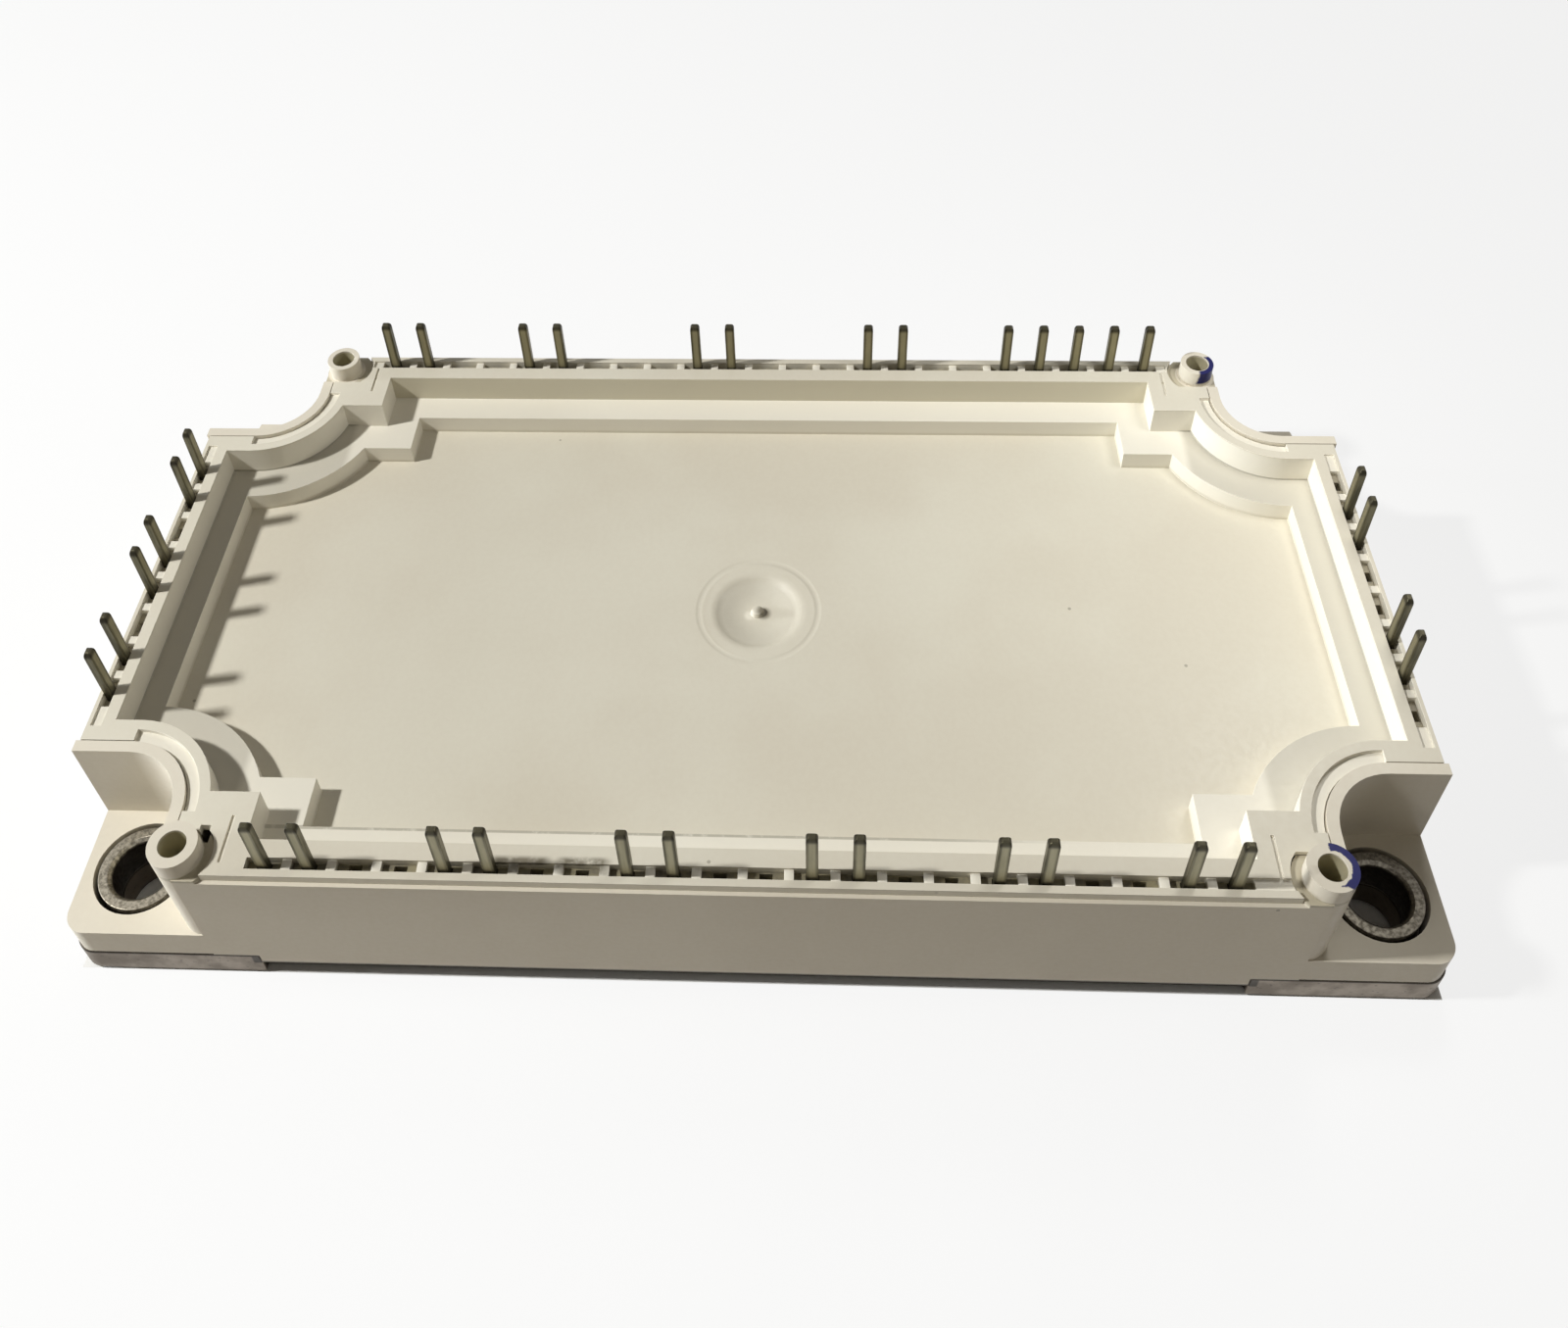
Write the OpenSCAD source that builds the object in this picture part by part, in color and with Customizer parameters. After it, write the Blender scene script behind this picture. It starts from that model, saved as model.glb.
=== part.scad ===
// Power semiconductor module: a moulded frame glued on a flat metal base, a tray lid,
// solder pins in two long rows and two short columns, and the bonded substrates inside.
// Origin: middle of the base plate's underside. +X length, +Y back, +Z up. Millimetres.

/* [Base plate] */
// length of the base plate
plate_l = 121; // [100:0.5:140]
// width of the base plate
plate_w = 62; // [54:0.5:72]
// thickness of the base plate
plate_t = 3; // [2:0.1:4.5]
// radius of the base plate's corners
plate_corner_r = 2; // [0.5:0.1:3]
// distance of the mounting holes from the plate's ends
hole_end = 5.5; // [5:0.1:6.5]
// distance of the mounting holes from the plate's long edges
hole_side = 6; // [5:0.1:7]
// diameter of the mounting holes
mount_d = 5.5; // [4:0.1:6]
// length of the part of the long edge that is set back behind the skirt
skirt_l = 86.8; // [60:0.2:88]

/* [Housing frame] */
// height of the rim above the base plate's underside
housing_h = 17; // [16:0.5:20]
// strip of base plate that shows past each end of the frame
end_reveal = 0.25; // [0.05:0.05:0.6]
// thickness of the long walls, which carry the two rows of pins
wall_long = 2.7; // [2.4:0.1:3.4]
// thickness of the end walls, which carry the two columns of pins
wall_end = 1.95; // [1.8:0.05:2.6]
// thickness of the wall round each screw notch
wall_notch = 2.3; // [2:0.1:2.8]
// thickness of the lip on the notch wall that stands up level with the rim
notch_lip = 1.05; // [0.7:0.05:1.3]
// radius of the screw notches, about the mounting holes
notch_r = 5.5; // [5.2:0.1:6]
// thickness of the screw ears above the base plate
ear_t = 3.7; // [2.5:0.1:5]
// height of the dark seam between ears and base plate
seam_h = 0.2; // [0.1:0.05:0.4]
// how far the back ears stop short of the wall's face
ear_back = 1.3; // [0.5:0.1:1.4]
// depth of that seam
seam_d = 0.5; // [0.2:0.05:0.8]
// thickness of the skirt over the plate's long edges
skirt_t = 0.6; // [0.4:0.05:0.9]
// drop of the skirt below the plate's top face
skirt_drop = 1.2; // [0.5:0.1:1.8]
// width of the shelf inside the frame that the pin feet lie on
shelf_w = 3.4; // [2.8:0.1:4]
// height of that shelf above the base plate
shelf_h = 2; // [1.8:0.1:2.8]

/* [Board towers] */
// outer radius of the towers that carry the circuit board
tower_r = 2.1; // [1.9:0.05:2.4]
// radius of the two back towers where they stand clear of the wall
tower_back_r = 1.75; // [1.6:0.05:1.9]
// height of the towers above the rim
tower_rise = 1.55; // [0.5:0.05:3]
// radius of the pilot hole for the board screw
pilot_r = 1.2; // [0.9:0.05:1.4]
// depth of the pilot hole
pilot_depth = 10; // [6:0.5:12]
// how far each tower stands past the notch wall
tower_proud = 0.1; // [0.05:0.05:0.3]
// how far each tower stands back from the long wall's face
tower_back = 0.1; // [0.05:0.05:0.3]
// open space between the towers and the lid
tower_gap = 0.9; // [0.5:0.05:1.2]
// depth of the pocket round the towers, below the rim
pocket_depth = 0.45; // [0.3:0.05:0.7]
// thickness of the pocket's floor below the lid's lip
collar_t = 1.1; // [0.6:0.1:2]
// distance along the length from the tower's middle to the hole beside it
vent_x = 1.65; // [1.2:0.05:2]
// the same distance along the width
vent_y = 1.9; // [1.5:0.05:2.2]
// width of that hole
vent_w = 0.9; // [0.5:0.05:1.2]
// length of that hole
vent_l = 1.35; // [0.8:0.05:1.6]

/* [Lid] */
// thickness of the lid's lip
lip_t = 0.9; // [0.7:0.05:1.3]
// ledge of the frame that shows outside the lip
lid_reveal = 0.35; // [0.1:0.05:0.5]
// thickness of the tray's upright walls
lid_wall = 0.8; // [0.6:0.05:1]
// depth of the tray's ledge below the rim
ledge_drop = 3.35; // [2.6:0.05:3.8]
// depth of the tray's floor below the rim
floor_drop = 5.6; // [4.8:0.1:6.2]
// thickness of the ledge
ledge_t = 1.2; // [0.9:0.05:1.4]
// thickness of the floor
floor_t = 1.3; // [0.9:0.05:1.6]
// width of the ledge along the long sides
ledge_long = 3; // [2:0.1:4.5]
// width of the ledge at the ends
ledge_end = 2.4; // [1.5:0.1:3.5]
// width of the ledge round the screw notches
ledge_notch = 3.5; // [2.5:0.1:4.5]
// distance from the tower's middle to the end face of its rim-high block
block_x = 5.4; // [4.4:0.1:7]
// distance from the tower's middle to the long face of its rim-high block
block_y = 5.7; // [4.6:0.1:7]
// step from the rim-high block down to the ledge-high block
block_step = 3.3; // [2.6:0.1:4]
// depth of the groove round the notches
groove_depth = 0.45; // [0.2:0.05:0.6]
// width of the groove round the notches
groove_w = 1.1; // [0.8:0.05:1.2]
// distance of the line across the lid from the tower's middle
line_in = 3.75; // [3.3:0.05:4.2]
// width of that line
line_w = 0.3; // [0.2:0.05:0.5]
// depth of that line
line_depth = 0.2; // [0.1:0.05:0.4]
// length of that line, from the row's middle inwards
line_l = 4.2; // [3:0.1:5]
// place of the moulding gate along the width
gate_y = 0.6; // [-2:0.1:2]
// radius of the shallow ring round the moulding gate
ring_r = 6; // [5.6:0.1:7]
// depth of that ring
ring_depth = 0.12; // [0.05:0.01:0.2]
// radius of the dish inside the ring
gate_r = 4.6; // [3.5:0.1:5.2]
// width of the slope down into the dish
gate_slope = 1.1; // [0.6:0.1:2]
// depth of the dish below the tray's floor
gate_depth = 0.5; // [0.3:0.05:0.6]
// radius of the gate's stub
stub_r = 0.75; // [0.4:0.05:1.2]

/* [Pins] */
// pitch of the pin positions
pitch = 3.81; // [3.5:0.01:4.2]
// occupied positions of the front row, from the left
front_pins = [0, 1, 4, 5, 8, 9, 12, 13, 16, 17, 20, 21];
// occupied positions of the back row, from the left
back_pins = [0, 1, 4, 5, 9, 10, 14, 15, 18, 19, 20, 21, 22];
// occupied positions of the left column, from the front
left_pins = [0, 1, 3, 4, 6, 7];
// occupied positions of the right column, from the front
right_pins = [1, 2, 5, 6];
// width of a pin
pin_w = 1; // [0.8:0.05:1.4]
// thickness of a pin
pin_t = 0.7; // [0.6:0.05:0.9]
// height of the pins above the rim
pin_rise = 6.3; // [3:0.1:9]
// length of the rounded tip
tip_l = 0.6; // [0.4:0.1:1.5]
// how far the rounding cuts in on each side
tip_in = 0.3; // [0.1:0.02:0.32]
// chamfer outside the bend of a pin's foot
bend_cut = 0.35; // [0.1:0.05:0.5]
// part of the shelf that a pin's foot leaves free
foot_margin = 0.3; // [0.1:0.05:0.6]
// distance of the rows from the frame's long faces
row_inset = 1.5; // [1.4:0.05:1.8]
// distance of the columns from the frame's end faces
col_inset = 1.2; // [1.1:0.05:1.3]
// width of the lid's slots
slot_w = 1; // [0.95:0.05:1.1]
// bar left between neighbouring slots
slot_bar = 0.8; // [0.5:0.05:1.2]
// depth of the groove that joins the slots
slot_groove = 0.25; // [0.1:0.05:0.4]
// run of that groove past the last slot of the back row
row_run = 1; // [0.5:0.1:1.5]
// run of that groove past the last slot of a column, at least
col_run = 2.1; // [1:0.1:2.6]

/* [Mounting bushes] */
// outer radius of the metal bushes
bush_r = 3.9; // [3.5:0.05:4.1]
// radius of the flange at the foot of each bush
flange_r = 4.25; // [4.15:0.05:4.6]
// thickness of that flange
flange_t = 0.6; // [0.4:0.1:1.2]
// chamfer at the mouth of each bush
bush_chamfer = 0.3; // [0.1:0.05:0.5]

/* [Substrates and chips] */
// solder layer under each substrate
solder_t = 0.2; // [0.1:0.05:0.3]
// copper on both faces of a substrate
copper_t = 0.3; // [0.2:0.05:0.4]
// ceramic between the copper layers
ceramic_t = 0.63; // [0.38:0.05:1]
// bare rim of ceramic round the copper
copper_margin = 0.6; // [0.3:0.1:1]
// space between neighbouring substrates
sub_gap = 1.5; // [0.8:0.1:2.5]
// space between the substrates and the shelf at the notches
sub_clear = 0.6; // [0.3:0.1:1.5]
// space between the substrates and the shelf along the long sides
sub_side = 2.4; // [1:0.1:3]
// width of the strips cut between the copper lands
land_gap = 1; // [0.6:0.1:1.4]
// width of the front land
strip_w = 7; // [6:0.1:9]
// length of a gate pad
pad_l = 2.4; // [1.8:0.1:3]
// width of a gate pad
pad_w = 4; // [3:0.1:5]
// side of a switching chip
igbt_side = 9; // [7:0.1:10]
// length of a diode chip, along the substrate
diode_l = 5; // [3:0.1:6]
// thickness of the chips
chip_t = 0.22; // [0.1:0.02:0.4]
// thickness of a bonded ribbon
ribbon_t = 0.25; // [0.1:0.05:0.4]
// width of a bonded ribbon
ribbon_w = 0.4; // [0.3:0.05:0.6]
// height of a ribbon's loop
loop_h = 1.1; // [0.6:0.1:1.5]
// length of a ribbon's bonded foot
bond_l = 0.5; // [0.3:0.05:0.8]
// how far past a land's edge a ribbon comes down
landing = 1.5; // [1:0.1:2]
// spacing of neighbouring ribbons on a chip
ribbon_step = 2; // [1:0.1:2.5]
// space left round the chips on their lands
chip_margin = 1.2; // [0.5:0.1:2]
// length of the temperature sensor
sensor_l = 3.6; // [3:0.1:5]
// width of the temperature sensor
sensor_w = 2; // [1:0.1:3]
// height of the temperature sensor
sensor_h = 1.2; // [0.6:0.1:2]
// length of each pad under the sensor's ends
sensor_pad = 1.2; // [0.8:0.1:1.6]

/* [Fits] */
// clearance between lid and frame, and round the pins
lid_fit = 0.1; // [0.05:0.05:0.2]
// clearance of each pin in its channel
pin_fit = 0.05; // [0.03:0.01:0.1]
// clearance between bush flange and ear, and between skirt and plate
bush_fit = 0.05; // [0.03:0.01:0.1]
// width of the adhesive bead under the frame
bead_w = 1.1; // [0.8:0.05:1.2]
// height of the adhesive bead
bead_h = 0.6; // [0.3:0.1:1]
// distance of the bead from the frame's inner faces
bead_in = 0.4; // [0.3:0.05:0.5]

/* [Hidden] */
$fn = 64;
eps = 0.01;
far = 40;
hole_x = plate_l / 2 - hole_end;
hole_y = plate_w / 2 - hole_side;
frame_x = plate_l / 2 - end_reveal;
frame_y = plate_w / 2;
frame_top = housing_h - lip_t;
ear_top = plate_t + ear_t;
shelf_z = plate_t + shelf_h;
ledge_z = housing_h - ledge_drop;
floor_z = housing_h - floor_drop;
tower_x = hole_x - notch_r - tower_r + tower_proud;
tower_y = frame_y - tower_r - tower_back;
row_y = frame_y - row_inset;
col_x = frame_x - col_inset;
inner_x = frame_x - wall_end;
inner_y = frame_y - wall_long;
inner_r = notch_r + wall_notch;
rim_in = lid_fit + lid_wall;
groove_r = notch_r + notch_lip + lid_fit;
slot_l = pitch - slot_bar;
row_room = 2 * (tower_x - tower_r - tower_gap - row_run);
col_room = 2 * (hole_y - groove_r - groove_w - col_run);
back_n = floor((row_room - slot_l) / pitch) + 1;
front_n = back_n - 1;
end_n = floor((col_room - slot_l) / pitch) + 1;
pin_base = shelf_z;
pin_h = housing_h + pin_rise - pin_base;
row_foot = row_y - (inner_y - shelf_w) - foot_margin;
col_foot = col_x - (inner_x - shelf_w) - foot_margin;
sub_total = 2 * (hole_x - inner_r - shelf_w - sub_clear);
sub_l = (sub_total - 2 * sub_gap) / 3;
sub_w = 2 * (inner_y - shelf_w - sub_side);
cu_l = sub_l - 2 * copper_margin;
cu_w = sub_w - 2 * copper_margin;
land_w = (cu_w - strip_w - 2 * land_gap) / 2;
copper1_z = plate_t + solder_t;
ceramic_z = copper1_z + copper_t;
copper2_z = ceramic_z + ceramic_t;
chip_z = copper2_z + copper_t;
chip_top = chip_z + chip_t;
out_y = -cu_w / 2 + strip_w + land_gap + land_w / 2;
plus_y = cu_w / 2 - land_w / 2;
strip_y = -cu_w / 2 + strip_w / 2;
window_l = pad_l + land_gap;
window_w = pad_w + 2 * land_gap;
igbt_x = -cu_l / 2 + window_l + chip_margin + igbt_side / 2;
diode_x = igbt_x + igbt_side / 2 + chip_margin + diode_l / 2;
sensor_x = cu_l / 2 - sensor_l / 2;
sensor_sub = 1;
ivory = [0.88, 0.85, 0.77];
tin = [0.52, 0.52, 0.5];
nickel = [0.66, 0.66, 0.64];
copper = [0.78, 0.5, 0.34];

// the positions of a list that fit in a side with n of them
function fitting(list, n) = [for (i = list) if (i < n) i];
front_at = fitting(front_pins, front_n);
back_at = fitting(back_pins, back_n);
left_at = fitting(left_pins, end_n);
right_at = fitting(right_pins, end_n);

// x of position i in a row of n
function row_x(i, n) = (i - (n - 1) / 2) * pitch;
// middle of substrate k, counted 1 to 3 from the left
function sub_x(k) = (k - 2) * (sub_l + sub_gap);
// whether a ribbon at x ends on the copper of some substrate
function on_copper(x) =
    len([for (k = [1:3]) if (abs(x - sub_x(k)) < cu_l / 2 - ribbon_w) k]) > 0;

// the children in all four corners
module corners() {
    for (a = [0, 1], b = [0, 1])
        mirror([a, 0, 0]) mirror([0, b, 0]) children();
}

// the children at the two back corners
module back_corners() {
    for (a = [0, 1]) mirror([a, 0, 0]) children();
}

// the children at the two front corners
module front_corners() {
    mirror([0, 1, 0]) back_corners() children();
}

// the children at both long sides
module sides() {
    for (b = [0, 1]) mirror([0, b, 0]) children();
}

module rounded_rect(l, w, r) {
    difference() {
        square([l, w], center = true);
        corners()
            translate([l / 2 - r, w / 2 - r])
                difference() {
                    square([r + 1, r + 1]);
                    circle(r = r);
                }
    }
}

// a corner notch of radius r about the mounting hole, open to the outside
module notch(r) {
    translate([hole_x, hole_y]) {
        circle(r = r);
        translate([-r, 0]) square([far, far]);
        translate([0, -r]) square([far, far]);
    }
}

// a rectangle with the four corner notches taken off
module notched(x, y, r) {
    difference() {
        square([2 * x, 2 * y], center = true);
        corners() notch(r);
    }
}

// plan of the frame's inside, drawn in by g
module inside(g) {
    notched(inner_x - g, inner_y - g, inner_r + g);
}

// plan of the open space round a tower, drawn in by g
module tower_space(g) {
    intersection() {
        translate([tower_x, tower_y]) {
            circle(r = tower_r + tower_gap - g);
            translate([0, -far / 2]) square([far, far]);
        }
        translate([tower_x - far / 2, tower_y - tower_r + g])
            square([far, far]);
    }
}

// plan of the tray above its ledge, grown by g
module tray_upper(g) {
    difference() {
        inside(rim_in - g);
        corners()
            translate([tower_x - block_x + g, tower_y - block_y + g])
                square([far, far]);
    }
}

// plan of the tray below its ledge, grown by g
module tray_lower(g) {
    difference() {
        notched(
            inner_x - rim_in - ledge_end + g,
            inner_y - rim_in - ledge_long + g,
            inner_r + rim_in + ledge_notch - g
        );
        corners()
            translate([
                tower_x - block_x - block_step + g,
                tower_y - block_y - block_step + g
            ])
                square([far, far]);
    }
}

// the children at every pin position of the four sides, turned so that +Y is inwards
module all_positions() {
    for (i = [0:front_n - 1])
        translate([row_x(i, front_n), -row_y, 0]) children();
    for (i = [0:back_n - 1])
        translate([row_x(i, back_n), row_y, 0]) rotate(180) children();
}

module end_positions() {
    for (i = [0:end_n - 1]) {
        translate([-col_x, row_x(i, end_n), 0]) rotate(-90) children();
        translate([col_x, row_x(i, end_n), 0]) rotate(90) children();
    }
}

// the channel a pin stands in, with the way out for its foot
module pin_channel(foot) {
    w = pin_w + 2 * pin_fit;
    t = pin_t + 2 * pin_fit;
    translate([-w / 2, -t / 2, pin_base])
        cube([w, t, housing_h - pin_base]);
    translate([-w / 2, -t / 2, pin_base])
        cube([w, t / 2 + foot, pin_t + 2 * pin_fit]);
}

// a slot through the lid's lip
module lid_slot() {
    translate([-slot_l / 2, -slot_w / 2, frame_top - 1])
        cube([slot_l, slot_w, lip_t + 2]);
}

// half outline of a pin's rounded end, for half a width of w
function tip(w) = [
    for (a = [0:18:90])
        [
            w - tip_in * w * 2 / pin_w * (1 - cos(a)),
            pin_h - tip_l * (1 - sin(a))
        ]
];

// that outline's other half, from the end down
function tip_back(w) = let (t = tip(w))
    [for (i = [len(t) - 1:-1:0]) [-t[i][0], t[i][1]]];

// a solder pin: bent foot, flat shaft and rounded tip
module pin(foot) {
    color(tin)
        intersection() {
            rotate([90, 0, 90])
                linear_extrude(height = pin_w, center = true)
                    polygon(concat(
                        [
                            [-pin_t / 2, bend_cut],
                            [-pin_t / 2 + bend_cut, 0],
                            [foot, 0],
                            [foot, pin_t],
                            [pin_t / 2, pin_t]
                        ],
                        tip(pin_t / 2),
                        tip_back(pin_t / 2)
                    ));
            rotate([90, 0, 0])
                linear_extrude(height = 4 * foot, center = true)
                    polygon(concat(
                        [[-pin_w / 2, -1], [pin_w / 2, -1]],
                        tip(pin_w / 2),
                        tip_back(pin_w / 2)
                    ));
        }
}

module base_plate() {
    color(nickel)
        difference() {
            linear_extrude(height = plate_t)
                difference() {
                    rounded_rect(plate_l, plate_w, plate_corner_r);
                    sides()
                        translate([
                            -skirt_l / 2 - bush_fit,
                            frame_y - skirt_t - bush_fit
                        ])
                            square([skirt_l + 2 * bush_fit, far]);
                }
            corners()
                translate([hole_x, hole_y, -1])
                    cylinder(d = mount_d, h = plate_t + 2);
        }
}

// the bead fills the groove in the frame's underside
module adhesive_bead() {
    color([0.8, 0.8, 0.78])
        translate([0, 0, plate_t])
            linear_extrude(height = bead_h)
                bead_plan();
}

module bead_plan() {
    difference() {
        inside(-bead_in - bead_w);
        inside(-bead_in);
    }
}

// one tower: a post that ends the long wall, and its top of radius r
module tower(r) {
    translate([tower_x, tower_y, plate_t]) {
        cylinder(r = r, h = housing_h + tower_rise - plate_t);
        if (r < tower_r)
            cylinder(r = tower_r, h = housing_h - pocket_depth - plate_t);
    }
}

// the floor of the pocket round a tower
module collar() {
    translate([0, 0, frame_top - collar_t])
        linear_extrude(height = collar_t + lip_t - pocket_depth)
            intersection() {
                tower_space(lid_fit);
                frame_plan();
            }
}

// the small hole beside the front left tower, through lip and pocket
module vent() {
    translate([
        -tower_x + vent_x - vent_w / 2,
        -tower_y + vent_y - vent_l / 2,
        frame_top - collar_t - 1
    ])
        cube([vent_w, vent_l, far]);
}

module housing_frame() {
    color(ivory)
        difference() {
            union() {
                difference() {
                    union() {
                        difference() {
                            frame_blank();
                            translate([0, 0, plate_t - 2])
                                linear_extrude(height = far)
                                    inside(shelf_w);
                            translate([0, 0, shelf_z])
                                linear_extrude(height = far)
                                    inside(0);
                            all_positions() pin_channel(row_foot + 1);
                            end_positions() pin_channel(col_foot + 1);
                            corners()
                                translate([0, 0, housing_h - pocket_depth])
                                    linear_extrude(height = far)
                                        tower_space(0);
                        }
                        corners() collar();
                    }
                    vent();
                }
                front_corners() tower(tower_r);
                back_corners() tower(tower_back_r);
            }
            corners()
                translate([
                    tower_x,
                    tower_y,
                    housing_h + tower_rise - pilot_depth
                ])
                    cylinder(r = pilot_r, h = far);
            corners()
                translate([hole_x, hole_y, plate_t - 1])
                    cylinder(r = flange_r + bush_fit, h = ear_t + 2);
            translate([0, 0, plate_t - eps])
                linear_extrude(height = bead_h + eps)
                    bead_plan();
        }
}

// plan of the walls' outside; the towers round off the long walls' ends
module frame_plan() {
    difference() {
        notched(frame_x, frame_y, notch_r);
        corners() translate([tower_x, tower_y]) square([far, far]);
    }
}

// walls, lips, ears and skirt, before anything is cut away
module frame_blank() {
    translate([0, 0, plate_t])
        linear_extrude(height = frame_top - plate_t)
            frame_plan();
    translate([0, 0, frame_top - eps])
        linear_extrude(height = lip_t + eps)
            difference() {
                frame_plan();
                notched(far * 2, far * 2, notch_r + notch_lip);
            }
    difference() {
        union() {
            translate([0, 0, plate_t + seam_h])
                linear_extrude(height = ear_t - seam_h)
                    rounded_rect(2 * frame_x, 2 * frame_y, plate_corner_r);
            translate([0, 0, plate_t])
                linear_extrude(height = ear_t)
                    rounded_rect(
                        2 * (frame_x - seam_d),
                        2 * (frame_y - seam_d),
                        plate_corner_r
                    );
        }
        back_corners()
            translate([tower_x, frame_y - ear_back, plate_t - 1])
                cube([far, far, ear_t + 2]);
    }
    sides()
        translate([
            -skirt_l / 2,
            frame_y - skirt_t,
            plate_t - skirt_drop
        ])
            cube([skirt_l, skirt_t, skirt_drop + seam_h + eps]);
}

// the moulded tray lid: lip, walls, ledge and floor
module lid() {
    color(ivory)
        union() {
            difference() {
                lid_blank();
                translate([0, 0, ledge_z])
                    linear_extrude(height = far)
                        tray_upper(0);
                translate([0, 0, floor_z])
                    linear_extrude(height = far)
                        tray_lower(0);
                all_positions() lid_slot();
                end_positions() lid_slot();
                slot_grooves();
                corners() notch_groove();
                corners() lid_line();
                vent();
                translate([0, gate_y, floor_z]) gate_dish();
            }
            translate([0, gate_y, floor_z - gate_depth - 0.1])
                cylinder(r1 = stub_r, r2 = stub_r * 0.7, h = gate_depth + 0.1);
        }
}

// the shallow line across the lid beside a tower
module lid_line() {
    translate([
        tower_x - line_in - line_w / 2,
        row_y - line_l,
        housing_h - line_depth
    ])
        cube([line_w, line_l, line_depth + 1]);
}

// the ring and the dish round the moulding gate
module gate_dish() {
    rotate_extrude($fn = 96)
        polygon([
            [0, 1],
            [ring_r, 1],
            [ring_r, 0],
            [ring_r - 3 * ring_depth, -ring_depth],
            [gate_r, -ring_depth],
            [gate_r - gate_slope, -gate_depth],
            [0, -gate_depth]
        ]);
}

// the lid before the tray, slots and grooves are cut
module lid_blank() {
    translate([0, 0, frame_top])
        linear_extrude(height = lip_t)
            difference() {
                notched(frame_x - lid_reveal, frame_y - lid_reveal, groove_r);
                corners() tower_space(0);
            }
    translate([0, 0, ledge_z - ledge_t])
        linear_extrude(height = frame_top + eps - ledge_z + ledge_t)
            tray_upper(lid_wall);
    translate([0, 0, floor_z - floor_t])
        linear_extrude(height = ledge_z - floor_z + floor_t)
            tray_lower(lid_wall);
}

// the shallow grooves that join the slots of each side; the front one
// runs out into the right tower's pocket
module slot_grooves() {
    row = row_x(back_n - 1, back_n) + slot_l / 2 + row_run;
    col = row_x(end_n - 1, end_n) + slot_l / 2 + col_run;
    translate([0, row_y, housing_h])
        cube([2 * row, slot_w, 2 * slot_groove], center = true);
    translate([
        row_x(0, front_n),
        -row_y - slot_w / 2,
        housing_h - slot_groove
    ])
        cube([
            tower_x - tower_r - row_x(0, front_n),
            slot_w,
            2 * slot_groove
        ]);
    for (s = [-1, 1])
        translate([s * col_x, 0, housing_h])
            cube([slot_w, 2 * col, 2 * slot_groove], center = true);
}

// the groove between the notch wall's lip and the tray's rim
module notch_groove() {
    translate([0, 0, housing_h - groove_depth])
        linear_extrude(height = far)
            intersection() {
                difference() {
                    notch(groove_r + groove_w);
                    notch(groove_r - 0.5);
                }
                square([hole_x, hole_y]);
            }
}

// a metal bush that carries the mounting screw's load to the base plate
module bush() {
    color([0.6, 0.59, 0.55])
        rotate_extrude()
            polygon([
                [mount_d / 2, 0],
                [flange_r, 0],
                [flange_r, flange_t],
                [bush_r, flange_t],
                [bush_r, ear_t],
                [mount_d / 2 + bush_chamfer, ear_t],
                [mount_d / 2, ear_t - bush_chamfer]
            ]);
}

module bush_at(i) {
    translate([
        (i % 2 == 1 ? -1 : 1) * hole_x,
        (i <= 2 ? -1 : 1) * hole_y,
        plate_t
    ])
        bush();
}

module slab(l, w, t, c) {
    color(c)
        translate([-l / 2, -w / 2, 0])
            cube([l, w, t]);
}

module substrate_solder() {
    for (k = [1:3])
        translate([sub_x(k), 0, plate_t])
            slab(cu_l, cu_w, solder_t, [0.7, 0.7, 0.72]);
}

module bottom_copper(k) {
    translate([sub_x(k), 0, copper1_z])
        slab(cu_l, cu_w, copper_t, copper);
}

module ceramic(k) {
    translate([sub_x(k), 0, ceramic_z])
        slab(sub_l, sub_w, ceramic_t, [0.93, 0.93, 0.92]);
}

// one copper land of the given width, with a gate pad let into its left edge
module land(w) {
    difference() {
        square([cu_l, w], center = true);
        translate([-cu_l / 2 - 1, -window_w / 2])
            square([window_l + 1, window_w]);
    }
    translate([-cu_l / 2, -pad_w / 2])
        square([pad_l, pad_w]);
}

// the two switching lands and the front land, which gives way to the sensor's pads
module top_copper(k) {
    color(copper)
        translate([sub_x(k), 0, copper2_z])
            linear_extrude(height = copper_t) {
                translate([0, plus_y]) land(land_w);
                translate([0, out_y]) land(land_w);
                difference() {
                    translate([0, strip_y])
                        square([cu_l, strip_w], center = true);
                    if (k == sensor_sub)
                        translate([
                            sensor_x - sensor_l / 2 - land_gap,
                            strip_y - strip_w
                        ])
                            square([far, 2 * strip_w]);
                }
                if (k == sensor_sub)
                    for (s = [-1, 1])
                        translate([
                            sensor_x + s * (sensor_l - sensor_pad) / 2,
                            strip_y
                        ])
                            square([sensor_pad, 2 * sensor_w], center = true);
            }
}

module igbt_chips() {
    for (k = [1:3], y = [plus_y, out_y])
        translate([sub_x(k) + igbt_x, y, chip_z])
            slab(igbt_side, igbt_side, chip_t, [0.35, 0.37, 0.42]);
}

module diode_chips() {
    for (k = [1:3], y = [plus_y, out_y])
        translate([sub_x(k) + diode_x, y, chip_z])
            slab(diode_l, igbt_side, chip_t, [0.42, 0.44, 0.48]);
}

module temperature_sensor() {
    translate([sub_x(sensor_sub) + sensor_x, strip_y, chip_z])
        slab(sensor_l, sensor_w, sensor_h, [0.25, 0.3, 0.25]);
}

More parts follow.
